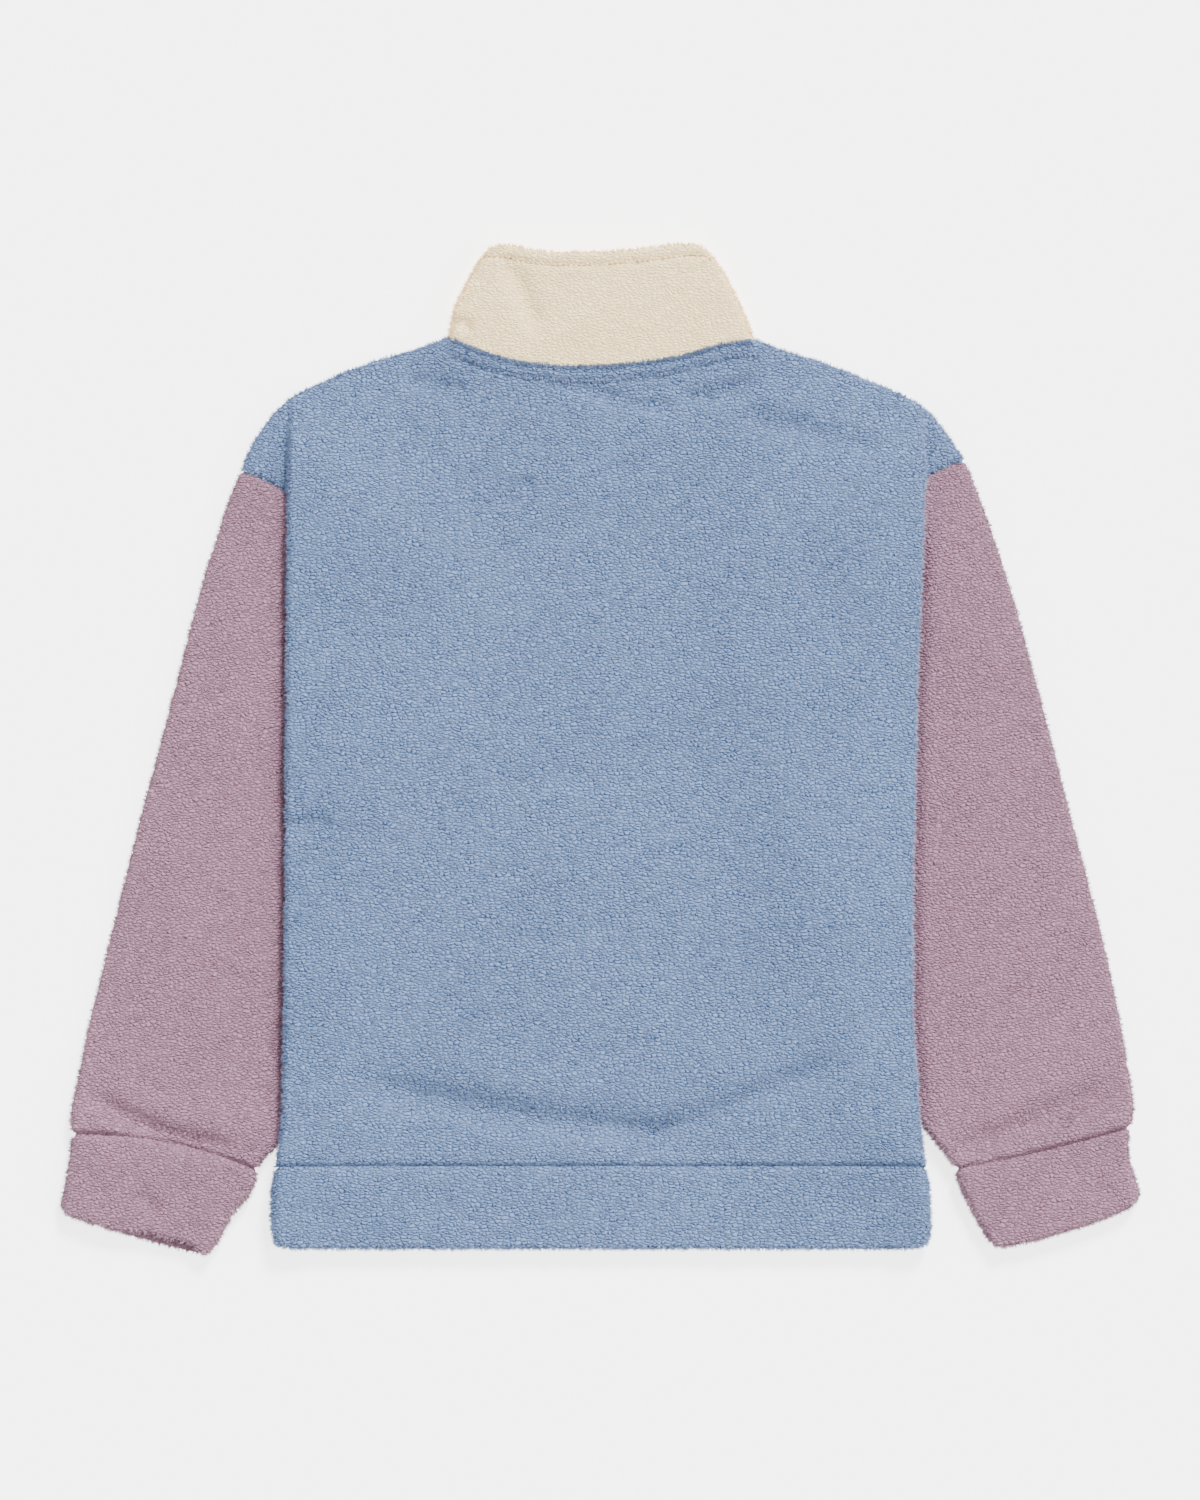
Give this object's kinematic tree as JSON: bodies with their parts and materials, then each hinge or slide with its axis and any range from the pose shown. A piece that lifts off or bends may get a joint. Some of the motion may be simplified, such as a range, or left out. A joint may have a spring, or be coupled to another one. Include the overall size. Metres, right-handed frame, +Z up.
{
  "type": "fleece jacket",
  "caption": "Pile fleece jacket laid flat on its zipped front: blue body and hem band, mauve sleeves folded down beneath its sides, mauve cuffs, cream stand collar.",
  "frame": {"origin": "on the surface the jacket lies on, under the middle of its bounding box", "axes": "+Z up from the surface through the back, +Y towards the collar, +X towards the wearer's right sleeve"},
  "size_m": [0.7746, 0.7285, 0.0202],
  "materials": {
    "blue_fleece": "matt curly pile",
    "mauve_fleece": "matt curly pile",
    "cream_fleece": "matt curly pile",
    "zip_tape": "woven tape",
    "zip_metal": "satin"
  },
  "bodies": {
    "jacket": {"back": "blue_fleece", "front_left": "blue_fleece", "front_right": "blue_fleece", "hem_band": "blue_fleece", "sleeve_left": "mauve_fleece", "sleeve_right": "mauve_fleece", "cuff_left": "mauve_fleece", "cuff_right": "mauve_fleece", "collar": "cream_fleece", "zip_tape_left": "zip_tape", "zip_tape_right": "zip_tape", "zip_chain": "zip_metal", "zip_box": "zip_metal", "zip_slider": "zip_metal"},
    "pull": {"zip_pull": "zip_metal"}
  },
  "joints": [
    {"name": "pull_hinge", "type": "hinge", "parent": "jacket", "child": "pull", "pos_m": [0, 0.3101, 0.0013], "axis": [1, 0, 0], "range_deg": [0, 170]}
  ]
}
